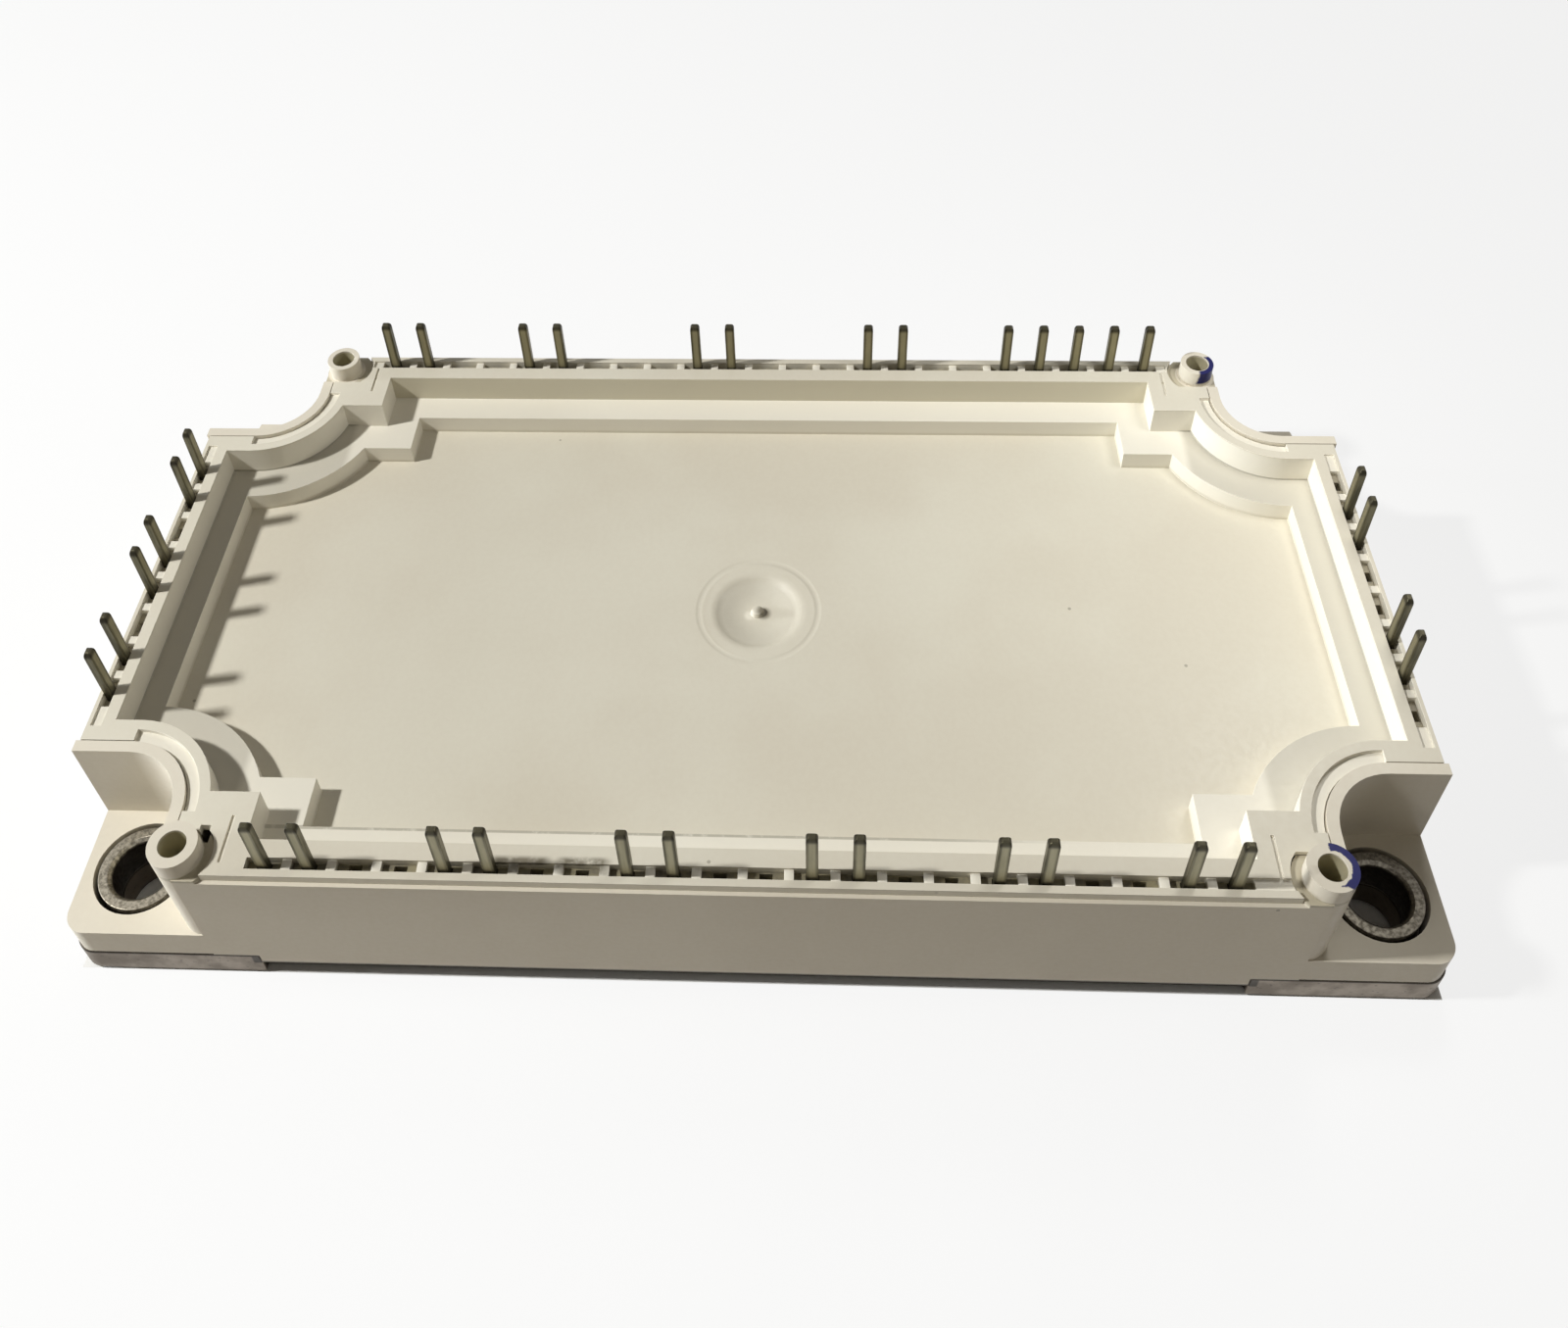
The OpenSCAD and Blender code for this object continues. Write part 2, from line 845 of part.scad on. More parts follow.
// a ribbon of span l along +Y, from height z1 to height z2
module ribbon(l, z1, z2) {
    top = max(z1, z2) + loop_h;
    under = [
        [0, z1],
        [bond_l, z1],
        [bond_l + loop_h * 0.6, top],
        [l - bond_l - loop_h * 0.6, top],
        [l - bond_l, z2],
        [l, z2]
    ];
    over = [for (i = [5:-1:0]) under[i] + [0, ribbon_t]];
    translate([-ribbon_w / 2, 0, 0])
        rotate([90, 0, 90])
            linear_extrude(height = ribbon_w)
                polygon(concat(under, over));
}

// ribbons from a chip at x on one land to the next land in front of it
module chip_ribbons(x, n) {
    for (y = [plus_y, out_y], i = [0:n - 1])
        translate([x + (i - (n - 1) / 2) * ribbon_step, y - igbt_side / 4, 0])
            rotate(180)
                ribbon(
                    land_w / 2 - igbt_side / 4 + land_gap + landing,
                    chip_top,
                    chip_z
                );
}

module bond_ribbons() {
    row_start = row_y - row_foot + bond_l;
    row_span = row_start - cu_w / 2 + landing;
    col_start = col_x - col_foot + bond_l;
    col_span = col_start - sub_total / 2 + copper_margin + landing;
    color([0.8, 0.8, 0.8]) {
        for (k = [1:3]) {
            chip_ribbons(sub_x(k) + igbt_x, 3);
            chip_ribbons(sub_x(k) + diode_x, 2);
            for (y = [plus_y, out_y])
                translate([sub_x(k) + igbt_x - igbt_side / 2 + landing, y, 0])
                    rotate(90)
                        ribbon(
                            landing + chip_margin + land_gap + pad_l / 2,
                            chip_top,
                            chip_z
                        );
        }
        for (i = front_at)
            if (on_copper(row_x(i, front_n)))
                translate([row_x(i, front_n), -row_start, 0])
                    ribbon(row_span, pin_base + pin_t, chip_z);
        for (i = back_at)
            if (on_copper(row_x(i, back_n)))
                translate([row_x(i, back_n), row_start, 0])
                    rotate(180)
                        ribbon(row_span, pin_base + pin_t, chip_z);
        for (i = left_at)
            translate([-col_start, row_x(i, end_n), 0])
                rotate(-90)
                    ribbon(col_span, pin_base + pin_t, chip_z);
        for (i = right_at)
            translate([col_start, row_x(i, end_n), 0])
                rotate(90)
                    ribbon(col_span, pin_base + pin_t, chip_z);
    }
}

base_plate();
adhesive_bead();
housing_frame();
lid();
for (i = [1:4])
    bush_at(i);
for (i = [1:len(front_at)])
    translate([row_x(front_at[i - 1], front_n), -row_y, pin_base])
            pin(row_foot);
for (i = [1:len(back_at)])
    translate([row_x(back_at[i - 1], back_n), row_y, pin_base])
            rotate(180) pin(row_foot);
for (i = [1:len(left_at)])
    translate([-col_x, row_x(left_at[i - 1], end_n), pin_base])
            rotate(-90) pin(col_foot);
for (i = [1:len(right_at)])
    translate([col_x, row_x(right_at[i - 1], end_n), pin_base])
            rotate(90) pin(col_foot);
substrate_solder();
for (i = [1:3])
    bottom_copper(i);
for (i = [1:3])
    ceramic(i);
for (i = [1:3])
    top_copper(i);
igbt_chips();
diode_chips();
temperature_sensor();
bond_ribbons();
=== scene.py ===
# %% [markdown]
# # A power module, dressed
# This is a flat power semiconductor module: a metal base plate, a moulded plastic
# frame with cut-in corners for the mounting screws, a plastic lid shaped like a
# shallow tray, four metal bushes and 35 solder pins. Its solids come from the CAD
# frame, in metres, and this script gives them soft edges, finishes and small marks.

import math

import bmesh
import bpy
import numpy as np
from mathutils import Matrix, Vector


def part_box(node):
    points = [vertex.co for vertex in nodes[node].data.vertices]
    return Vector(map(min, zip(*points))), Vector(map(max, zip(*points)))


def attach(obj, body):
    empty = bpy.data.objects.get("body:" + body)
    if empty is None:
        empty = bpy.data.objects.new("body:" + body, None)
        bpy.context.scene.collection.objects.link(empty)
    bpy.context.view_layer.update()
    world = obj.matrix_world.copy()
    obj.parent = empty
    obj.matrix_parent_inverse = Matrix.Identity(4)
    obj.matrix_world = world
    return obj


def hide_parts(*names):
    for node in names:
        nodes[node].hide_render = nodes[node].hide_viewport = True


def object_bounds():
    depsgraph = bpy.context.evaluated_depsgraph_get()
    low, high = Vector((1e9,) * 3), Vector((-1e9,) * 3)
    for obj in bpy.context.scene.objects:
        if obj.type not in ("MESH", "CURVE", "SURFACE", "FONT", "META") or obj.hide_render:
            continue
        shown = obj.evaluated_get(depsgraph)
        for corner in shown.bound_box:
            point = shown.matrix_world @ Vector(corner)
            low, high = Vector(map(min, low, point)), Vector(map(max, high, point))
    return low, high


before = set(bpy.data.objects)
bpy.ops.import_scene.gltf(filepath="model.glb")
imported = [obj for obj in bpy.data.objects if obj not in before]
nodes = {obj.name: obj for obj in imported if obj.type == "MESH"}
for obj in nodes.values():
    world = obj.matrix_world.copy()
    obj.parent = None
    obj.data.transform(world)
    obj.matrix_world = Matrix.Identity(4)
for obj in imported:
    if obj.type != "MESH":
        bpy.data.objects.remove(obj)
cad_box = [list(v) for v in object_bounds()]
MM = 0.001
pin_names = [name for name in nodes if name.startswith("pin_")]
print("nodes", len(nodes), "pins", len(pin_names), "box", cad_box)

# %% [markdown]
# ## Camera
# The module is looked at from above its long front edge, a little to the right of
# its middle, from about 16 cm, so its near edge looks much longer than its far edge.
# Unturned, a camera looks straight down. This one is tilted up by 49 degrees, with two
# small turns of about 2 degrees. The shift slides the module to its place in the
# picture without changing its perspective.

# %% Camera
camera = bpy.data.objects.new("camera", bpy.data.cameras.new("camera"))
bpy.context.scene.collection.objects.link(camera)
camera.location = (6.58 * MM, -87.97 * MM, 133.13 * MM)
camera.rotation_euler = [math.radians(degrees) for degrees in (48.9665, 1.5966, 2.0404)]
camera.data.sensor_fit = "HORIZONTAL"
camera.data.sensor_width = 36.0
camera.data.lens = 33.744555
camera.data.shift_x = 0.01670875
camera.data.shift_y = -0.248823125
camera.data.clip_start = 0.01
bpy.context.scene.camera = camera
bpy.context.scene.view_settings.view_transform = "Standard"
print("camera", round(camera.location.length, 3), "m from the module's middle")

# %% [markdown]
# ## Light
# A small near lamp to the left, 0.4 m away and 48 degrees up, makes the short crisp
# shadows of the pins and the left wall. A strong lamp low on the left reaches over the
# left wall and lights the walls that face it. A tiny one just above the right end
# brightens the ledges there, and a warm dim sky fills the rest. The camera and
# reflections see that sky as white, so the backdrop is white in the metal too.

# %% Light
def area_lamp(name, place, size, power, colour):
    """A square lamp at place, facing the module's middle."""
    d = np.array(place, float)
    distance = np.linalg.norm(d)
    d /= distance
    lamp = bpy.data.lights.new(name, "AREA")
    lamp.shape = "SQUARE"
    lamp.size = size
    lamp.energy = power
    lamp.color = colour
    o = bpy.data.objects.new(name, lamp)
    bpy.context.scene.collection.objects.link(o)
    side = np.cross([0.0, 0.0, 1.0], d)
    side /= np.linalg.norm(side)
    m = np.eye(4)
    m[:3, 0], m[:3, 1], m[:3, 2] = side, np.cross(d, side), d
    m[:3, 3] = d * distance
    o.matrix_world = Matrix(m.tolist())
    return o


area_lamp("lamp_key", place=(-0.268, -0.044, 0.300), size=0.024, power=1.21, colour=(1.0, 1.0, 0.98))
area_lamp("lamp_low_left", place=(-1.19, 0.0, 0.136), size=0.20, power=10.8, colour=(0.93, 1.0, 1.08))
area_lamp("lamp_near_right", place=(0.060, 0.014, 0.064), size=0.022, power=0.0155, colour=(1.0, 1.0, 0.97))

world = bpy.data.worlds.new("studio")
bpy.context.scene.world = world
world.use_nodes = True
wt = world.node_tree
wt.nodes.clear()
sky = wt.nodes.new("ShaderNodeBackground")
sky.inputs["Color"].default_value = (1.0, 0.92, 0.80, 1.0)
sky.inputs["Strength"].default_value = 0.12
seen = wt.nodes.new("ShaderNodeBackground")
seen.inputs["Color"].default_value = (1.0, 1.0, 1.0, 1.0)
seen.inputs["Strength"].default_value = 1.0
pick = wt.nodes.new("ShaderNodeMixShader")
ray = wt.nodes.new("ShaderNodeLightPath")
shows = ray.outputs["Is Camera Ray"]
for other in ("Is Glossy Ray", "Is Transmission Ray"):
    most = wt.nodes.new("ShaderNodeMath")
    most.operation = "MAXIMUM"
    wt.links.new(shows, most.inputs[0])
    wt.links.new(ray.outputs[other], most.inputs[1])
    shows = most.outputs[0]
wt.links.new(shows, pick.inputs[0])
wt.links.new(sky.outputs[0], pick.inputs[1])
wt.links.new(seen.outputs[0], pick.inputs[2])
world_out = wt.nodes.new("ShaderNodeOutputWorld")
wt.links.new(pick.outputs[0], world_out.inputs[0])


# %% [markdown]
# ## Shader helpers
# Every finish is a small node tree. These helpers keep each one short: they add a
# node and set its sockets, start a material or a shader group, mix two colours, do
# sums, fade one value into another, and turn six hex digits into a colour.

# %% Shader helpers
def add(tree, kind, sets=None, **props):
    """Adds a node of that kind, with properties and socket values or links."""
    n = tree.nodes.new("ShaderNode" + kind)
    for k, v in props.items():
        setattr(n, k, v)
    for k, v in (sets or {}).items():
        if isinstance(v, bpy.types.NodeSocket):
            tree.links.new(v, n.inputs[k])
        else:
            n.inputs[k].default_value = v
    return n


def material(name):
    """A material with a Principled shader. Returns the material, its tree and the shader."""
    m = bpy.data.materials.new(name)
    m.use_nodes = True
    t = m.node_tree
    t.nodes.clear()
    shader = t.nodes.new("ShaderNodeBsdfPrincipled")
    out = t.nodes.new("ShaderNodeOutputMaterial")
    t.links.new(shader.outputs[0], out.inputs[0])
    return m, t, shader


def group(name, ins, outs):
    """An empty shader group. ins and outs are (name, kind, value) in order."""
    g = bpy.data.node_groups.new(name, "ShaderNodeTree")
    for n, kind, value in ins:
        s = g.interface.new_socket(n, in_out="INPUT", socket_type="NodeSocket" + kind)
        if value is not None:
            s.default_value = value
    for n, kind in outs:
        g.interface.new_socket(n, in_out="OUTPUT", socket_type="NodeSocket" + kind)
    return g, g.nodes.new("NodeGroupInput"), g.nodes.new("NodeGroupOutput")


def mix(tree, factor, a, b, blend="MIX"):
    """A colour mix. Returns the result socket."""
    n = tree.nodes.new("ShaderNodeMix")
    n.data_type = "RGBA"
    n.blend_type = blend
    for k, v in ((0, factor), (6, a), (7, b)):
        if isinstance(v, bpy.types.NodeSocket):
            tree.links.new(v, n.inputs[k])
        else:
            n.inputs[k].default_value = v
    return n.outputs[2]


def maths(tree, operation, a, b=0.0):
    """A maths node. Returns its result socket."""
    n = tree.nodes.new("ShaderNodeMath")
    n.operation = operation
    for k, v in ((0, a), (1, b)):
        if isinstance(v, bpy.types.NodeSocket):
            tree.links.new(v, n.inputs[k])
        else:
            n.inputs[k].default_value = v
    return n.outputs[0]


def ramp(tree, value, lo, hi, out_lo=0.0, out_hi=1.0):
    """value from lo..hi to out_lo..out_hi, smoothly, and held outside."""
    n = tree.nodes.new("ShaderNodeMapRange")
    n.interpolation_type = "SMOOTHSTEP"
    tree.links.new(value, n.inputs[0])
    for k, v in zip((1, 2, 3, 4), (lo, hi, out_lo, out_hi)):
        n.inputs[k].default_value = v
    return n.outputs[0]


def rgb(text):
    """A colour written as six hex digits, as the linear values that a socket holds."""
    c = [int(text[i : i + 2], 16) / 255 for i in (0, 2, 4)]
    return tuple((v / 12.92 if v <= 0.04045 else ((v + 0.055) / 1.055) ** 2.4) for v in c) + (1.0,)


print("helpers", [f.__name__ for f in (add, material, group, mix, maths, ramp, rgb)])

# %% [markdown]
# ## Shared effect: moulding grain
# Moulded plastic is never one even colour. It has wide soft clouds where the melt
# flowed, and a fine skin that scatters the light. The group gives a colour between
# two tints, a roughness that wanders and a height for a Bump node.

# %% Moulding grain group
grain, gi, go = group(
    "moulding_grain",
    [
        ("Light", "Color", (0.8, 0.8, 0.8, 1)),
        ("Dark", "Color", (0.7, 0.7, 0.7, 1)),
        ("Cloud Scale", "Float", 40.0),
        ("Skin Scale", "Float", 1500.0),
        ("Roughness", "Float", 0.5),
    ],
    [("Color", "Color"), ("Roughness", "Float"), ("Height", "Float")],
)
where = add(grain, "TexCoord").outputs["Object"]
cloud = add(
    grain,
    "TexNoise",
    {"Vector": where, "Scale": gi.outputs["Cloud Scale"], "Detail": 3.0, "Roughness": 0.55},
).outputs[0]
skin = add(
    grain,
    "TexNoise",
    {"Vector": where, "Scale": gi.outputs["Skin Scale"], "Detail": 2.0, "Roughness": 0.6},
).outputs[0]
clouds, grit = ramp(grain, cloud, 0.35, 0.65, 0.0, 0.8), ramp(grain, skin, 0.3, 0.7, 0.0, 0.2)
tint = maths(grain, "ADD", clouds, grit)
grain.links.new(mix(grain, tint, gi.outputs["Light"], gi.outputs["Dark"]), go.inputs["Color"])
grain.links.new(
    maths(grain, "ADD", gi.outputs["Roughness"], ramp(grain, skin, 0.3, 0.7, -0.06, 0.06)),
    go.inputs["Roughness"],
)
grain.links.new(skin, go.inputs["Height"])
print("group", grain.name)

# %% [markdown]
# ## Shared effect: specks
# Small dark specks and grains of dirt lie on the plastic and the metal. A cell
# pattern gives one round dot per cell, and a noise picks the few cells that show.

# %% Specks group
specks, gi, go = group(
    "specks",
    [("Scale", "Float", 900.0), ("Size", "Float", 0.12), ("Amount", "Float", 0.5)],
    [("Mask", "Float")],
)
where = add(specks, "TexCoord").outputs["Object"]
cells = add(specks, "TexVoronoi", {"Vector": where, "Scale": gi.outputs["Scale"]})
dot = maths(specks, "LESS_THAN", cells.outputs["Distance"], gi.outputs["Size"])
chosen = add(specks, "TexWhiteNoise", {"Vector": cells.outputs["Position"]}, noise_dimensions="3D")
few = maths(specks, "LESS_THAN", chosen.outputs["Value"], gi.outputs["Amount"])
specks.links.new(maths(specks, "MULTIPLY", dot, few), go.inputs["Mask"])
print("group", specks.name)

# %% [markdown]
# ## Soft edges
# A mould leaves no knife edge: every corner is rounded by a tenth or two of a
# millimetre, and that thin band is what catches the light. The CAD mesh is loose
# triangles, so a copy is welded, its flat areas are joined and its sharp edges are
# bevelled. The bevelled faces are marked in an attribute, so a finish can find them.

# %% Soft edges
def softened(name, node, width, segments=2, angle=28.0):
    """A welded copy of a CAD node with its edges sharper than angle rounded to width."""
    src = nodes[node].data
    bm = bmesh.new()
    bm.from_mesh(src)
    edge = bm.faces.layers.float.new("edge")
    bmesh.ops.remove_doubles(bm, verts=bm.verts, dist=2e-7)
    bmesh.ops.dissolve_degenerate(bm, edges=bm.edges, dist=1e-7)
    bmesh.ops.dissolve_limit(
        bm, angle_limit=math.radians(0.4), verts=bm.verts, edges=bm.edges,
        use_dissolve_boundaries=False,
    )
    sharp = [e for e in bm.edges if e.is_manifold and e.calc_face_angle(0.0) > math.radians(angle)]
    made = bmesh.ops.bevel(
        bm, geom=sharp, offset=width, offset_type="OFFSET", segments=segments,
        profile=0.5, affect="EDGES", clamp_overlap=True, loop_slide=True,
        miter_outer="SHARP", material=-1,
    )
    for f in made["faces"]:
        f[edge] = 1.0
    for f in bm.faces:
        f.smooth = True
    mesh = bpy.data.meshes.new(name)
    bm.to_mesh(mesh)
    bm.free()
    mesh.set_sharp_from_angle(angle=math.radians(38.0))
    o = bpy.data.objects.new(name, mesh)
    bpy.context.scene.collection.objects.link(o)
    even = o.modifiers.new("even", "WEIGHTED_NORMAL")
    even.keep_sharp = True
    even.weight = 80
    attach(o, "root")
    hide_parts(node)
    print(name, "from", len(src.polygons), "to", len(mesh.polygons), "faces,", len(sharp), "edges")
    return o


moulding = softened("frame_moulding", "housing_frame", 0.16 * MM)
tray = softened("tray_lid", "lid", 0.16 * MM)
plate = softened("plate_body", "base_plate", 0.15 * MM)

# %% [markdown]
# ## Shared effect: where a point lies
# Grime sits in the slots and the towers' holes, so the finishes need to know where a
# point is. The group gives X and Y, the same without their signs as Along and Across,
# the Height, and as Tower the distance from the axis of the nearest corner tower.

# %% Places group
places, gi, go = group(
    "places",
    [("Tower X", "Float", 47.5 * MM), ("Tower Y", "Float", 28.8 * MM)],
    [(name, "Float") for name in ("X", "Y", "Along", "Across", "Height", "Tower")],
)
part = add(places, "SeparateXYZ", {"Vector": add(places, "TexCoord").outputs["Object"]})
x, y, z = part.outputs
ax, ay = maths(places, "ABSOLUTE", x), maths(places, "ABSOLUTE", y)
off = add(
    places,
    "CombineXYZ",
    {
        "X": maths(places, "SUBTRACT", ax, gi.outputs["Tower X"]),
        "Y": maths(places, "SUBTRACT", ay, gi.outputs["Tower Y"]),
    },
)
far = add(places, "VectorMath", {0: off.outputs[0]}, operation="LENGTH").outputs["Value"]
for name, v in (("X", x), ("Y", y), ("Along", ax), ("Across", ay), ("Height", z), ("Tower", far)):
    places.links.new(v, go.inputs[name])
print("group", places.name)

# %% [markdown]
# ## Masks
# Dirt, ink and worn metal each lie in their own place. A mask is 1 there and 0
# elsewhere, with a soft border, and it is made from the distances of the places
# group. That needs no drawn picture, and it works on any face of a piece.

# %% Masks
def above(tree, value, edge, soft):
    """0 up to edge, rising to 1 over soft."""
    return ramp(tree, value, edge, edge + soft)


def below(tree, value, edge, soft):
    """1 up to edge, falling to 0 over soft."""
    return ramp(tree, value, edge, edge + soft, 1.0, 0.0)


def either(tree, *masks):
    """The strongest of some masks."""
    m = masks[0]
    for k in masks[1:]:
        m = maths(tree, "MAXIMUM", m, k)
    return m


def both(tree, *masks):
    """The product of some masks."""
    m = masks[0]
    for k in masks[1:]:
        m = maths(tree, "MULTIPLY", m, k)
    return m


def band(tree, value, lo, hi, soft):
    """1 where value is between lo and hi, falling to 0 over soft outside."""
    return both(tree, above(tree, value, lo - soft, soft), below(tree, value, hi, soft))


def paint(tree, mask, amount, under, over):
    """The colour under, covered by the hex colour over where mask is 1, by amount."""
    return mix(tree, maths(tree, "MULTIPLY", mask, amount), under, rgb(over))


print("masks", [f.__name__ for f in (above, below, either, both, band, paint)])

# %% [markdown]
# ## Ivory plastic
# The frame and the lid are a pale ivory plastic with a dull sheen. Edges get a painted
# highlight, paler than the rest, and painted shade lies olive deep in the pin slots,
# most of all in the front row. One function makes what the two share, so that they
# stay one plastic, and each then adds its own marks.

# %% Plastic
SLOT = 1.2 * MM  # width of a pin slot
ROW = 28.9 * MM  # from the middle to the slots of the long sides
COLUMN = 58.45 * MM  # from the middle to the slots of the ends


def plastic(name, light, dark, roughness):
    """An ivory moulding: grain, a painted highlight on the edges, painted shade in the slots and specks.
    Returns the material, its tree, shader, places, colour and ragged noise."""
    m, t, s = material(name)
    tints = {"Light": rgb(light), "Dark": rgb(dark)}
    sizes = {"Cloud Scale": 38.0, "Skin Scale": 1900.0, "Roughness": roughness}
    g = add(t, "Group", {**tints, **sizes}, node_tree=grain)
    at = add(t, "Group", node_tree=places).outputs
    ragged = add(
        t,
        "TexNoise",
        {"Vector": add(t, "TexCoord").outputs["Object"], "Scale": 900.0, "Detail": 3.0, "Roughness": 0.65},
    ).outputs[0]
    colour = g.outputs["Color"]
    edge = add(t, "Attribute", attribute_name="edge").outputs["Fac"]
    # Painted highlight: the bevelled edges are painted paler, where they catch the light.
    colour = paint(t, edge, 0.55, colour, "FAF5E6")
    dots = add(t, "Group", {"Scale": 420.0, "Size": 0.07, "Amount": 0.03}, node_tree=specks)
    colour = paint(t, dots.outputs[0], 0.5, colour, "6E6654")
    # Painted shade in the pin slots, strongest in the front row and weakest in the end columns.
    row = both(
        t,
        band(t, at["Across"], ROW, ROW + SLOT, 0.05 * MM),
        below(t, at["Along"], 44.0 * MM, 0.3 * MM),
        ramp(t, at["Y"], -1.0 * MM, 1.0 * MM, 0.85, 0.6),
    )
    column = both(
        t,
        band(t, at["Along"], COLUMN, COLUMN + SLOT, 0.05 * MM),
        below(t, at["Across"], 17.0 * MM, 0.3 * MM),
    )
    sunk = band(t, at["Height"], 4.0 * MM, 16.3 * MM, 0.3 * MM)
    slot_shade = both(t, either(t, row, maths(t, "MULTIPLY", column, 0.5)), sunk)
    slot_shade_colour = mix(t, ramp(t, ragged, 0.4, 0.65), rgb("7A7252"), rgb("504A36"))
    colour = mix(t, slot_shade, colour, slot_shade_colour)
    t.links.new(g.outputs["Roughness"], s.inputs["Roughness"])
    bump = add(t, "Bump", {"Strength": 0.12, "Distance": 0.00005, "Height": g.outputs["Height"]})
    t.links.new(bump.outputs[0], s.inputs["Normal"])
    s.inputs["Specular IOR Level"].default_value = 0.25
    return m, t, s, at, colour, ragged


print("slot row", ROW, "column", COLUMN, "width", SLOT)

# %% [markdown]
# ## The frame
# The frame adds painted shade: an olive tint inside the towers' holes and on the pocket
# floors round the towers, and a dark line low on the skirt. It also has a dark line along
# the ears' seam, where the plastic meets the plate.

# %% Frame finish
TOWER_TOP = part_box("housing_frame")[1][2]
frame_plastic, t, s, at, colour, ragged = plastic("ivory_frame", "E0D9C9", "D8D0BF", 0.42)
# Painted shade inside the towers' holes.
in_bore = below(t, at["Tower"], 1.18 * MM, 0.06 * MM)
bore_shade = both(t, in_bore, below(t, at["Height"], TOWER_TOP - 0.35 * MM, 0.2 * MM))
colour = paint(t, bore_shade, 0.8, colour, "A39C72")
# Painted shade on the pocket floors round the towers.
round_tower = band(t, at["Tower"], 2.12 * MM, 3.2 * MM, 0.1 * MM)
pocket_shade = both(t, round_tower, band(t, at["Height"], 16.3 * MM, 16.65 * MM, 0.1 * MM))
colour = paint(t, pocket_shade, 0.45, colour, "8E8560")
at_seam = below(t, at["Height"], 3.02 * MM, 0.14 * MM)
seam = both(t, at_seam, above(t, at["Along"], 43.3 * MM, 0.3 * MM))
low = both(t, below(t, at["Height"], 1.9 * MM, 0.15 * MM), above(t, at["Across"], 30.4 * MM, 0.1 * MM))
print("towers reach", round(TOWER_TOP, 5))

# %% [markdown]
# ## Pen marks
# A blue pen has marked the outer half of the front right tower and the near side of
# the back right one. Each mark is what its limits have in common, and a noise moves
# those limits a little, so that the marks look drawn by hand.

# %% Pen marks
wobble = ramp(t, ragged, 0.3, 0.7, -0.12 * MM, 0.12 * MM)
x_edge = maths(t, "ADD", at["X"], wobble)
y_edge = maths(t, "ADD", at["Y"], wobble)
tower_edge = maths(t, "ADD", at["Tower"], wobble)
on_tower = both(t, below(t, at["Tower"], 2.25 * MM, 0.05 * MM), above(t, at["Tower"], 1.22 * MM, 0.06 * MM))
right = above(t, at["X"], 0.0, 1.0 * MM)
ink_front = both(
    t,
    on_tower,
    right,
    below(t, at["Y"], -1.0 * MM, 1.0 * MM),
    above(t, tower_edge, 1.42 * MM, 0.08 * MM),
    above(t, x_edge, 47.6 * MM, 0.1 * MM),
    above(t, y_edge, -30.55 * MM, 0.15 * MM),
    above(t, at["Height"], TOWER_TOP - 0.8 * MM, 0.2 * MM),
)
slanted = maths(t, "ADD", y_edge, maths(t, "MULTIPLY", x_edge, -0.2))
ink_back = both(
    t,
    on_tower,
    right,
    above(t, at["Y"], 0.0, 1.0 * MM),
    above(t, x_edge, 47.25 * MM, 0.25 * MM),
    below(t, slanted, 19.9 * MM, 0.2 * MM),
    above(t, at["Height"], 16.9 * MM, 0.3 * MM),
)
colour = mix(t, either(t, ink_front, ink_back), colour, rgb("111352"))
# Painted shade low on the skirt, and a dark line along the ears' seam.
colour = paint(t, either(t, seam, low), 0.8, colour, "39342C")
t.links.new(colour, s.inputs["Base Color"])
moulding.data.materials.clear()
moulding.data.materials.append(frame_plastic)
print("finish", frame_plastic.name)

# %% [markdown]
# ## The lid
# The lid is the same plastic. Its walls and ledge are painted paler than the floor as
# painted light, but the long back wall is painted a dull olive as painted shade. Grey
# dirt has gathered along the front edge, and thin lines of painted shade follow the ledge.

# %% Lid finish
lid_plastic, t, s, at, colour, ragged = plastic("ivory_lid", "DDD8C8", "D6CFBE", 0.44)
# Painted light: the walls and ledge are painted paler than the floor.
wall_and_ledge_light = band(t, at["Height"], 11.9 * MM, 16.7 * MM, 0.3 * MM)
colour = paint(t, wall_and_ledge_light, 0.55, colour, "F3EFE3")
# Painted shade on the long back wall.
back_wall = band(t, at["Y"], 27.3 * MM, 27.55 * MM, 0.05 * MM)
back_wall_shade = both(t, back_wall, band(t, at["Height"], 13.75 * MM, 16.8 * MM, 0.1 * MM))
colour = paint(t, back_wall_shade, 0.5, colour, "B5AC8B")
stretches = [band(t, at["X"], lo * MM, hi * MM, 1.2 * MM) for lo, hi in ((-20.3, -16.8), (-14.6, -11.8))]
smear = both(
    t,
    either(t, *stretches),
    band(t, at["Y"], -29.6 * MM, -28.75 * MM, 0.5 * MM),
    above(t, at["Height"], 16.5 * MM, 0.3 * MM),
    ramp(t, ragged, 0.15, 0.6),
)
colour = paint(t, smear, 0.85, colour, "5A523F")
# Painted shade: thin dark lines where the end walls meet the ledge, and along the front ledge's inner edge.
foot_shade = both(
    t,
    band(t, at["Height"], 13.67 * MM, 13.85 * MM, 0.05 * MM),
    above(t, at["Along"], 45.0 * MM, 1.0 * MM),
)
brink_shade = both(
    t,
    band(t, at["Y"], -24.62 * MM, -24.32 * MM, 0.06 * MM),
    band(t, at["Height"], 13.2 * MM, 13.8 * MM, 0.1 * MM),
    band(t, at["X"], -36.0 * MM, 14.0 * MM, 16.0 * MM),
    ramp(t, ragged, 0.2, 0.5),
)
colour = paint(t, either(t, foot_shade, brink_shade), 0.5, colour, "6E6650")
print("finish", lid_plastic.name)

# %% [markdown]
# ## The gate dish
# The mark of the moulding gate is a shallow dish in the middle of the floor, with a
# small nub. The CAD frame has both, and a bump gives the dish its bowl and presses a
# faint ring round it. The nub gets a painted highlight on its left and a painted shadow
# on its right.

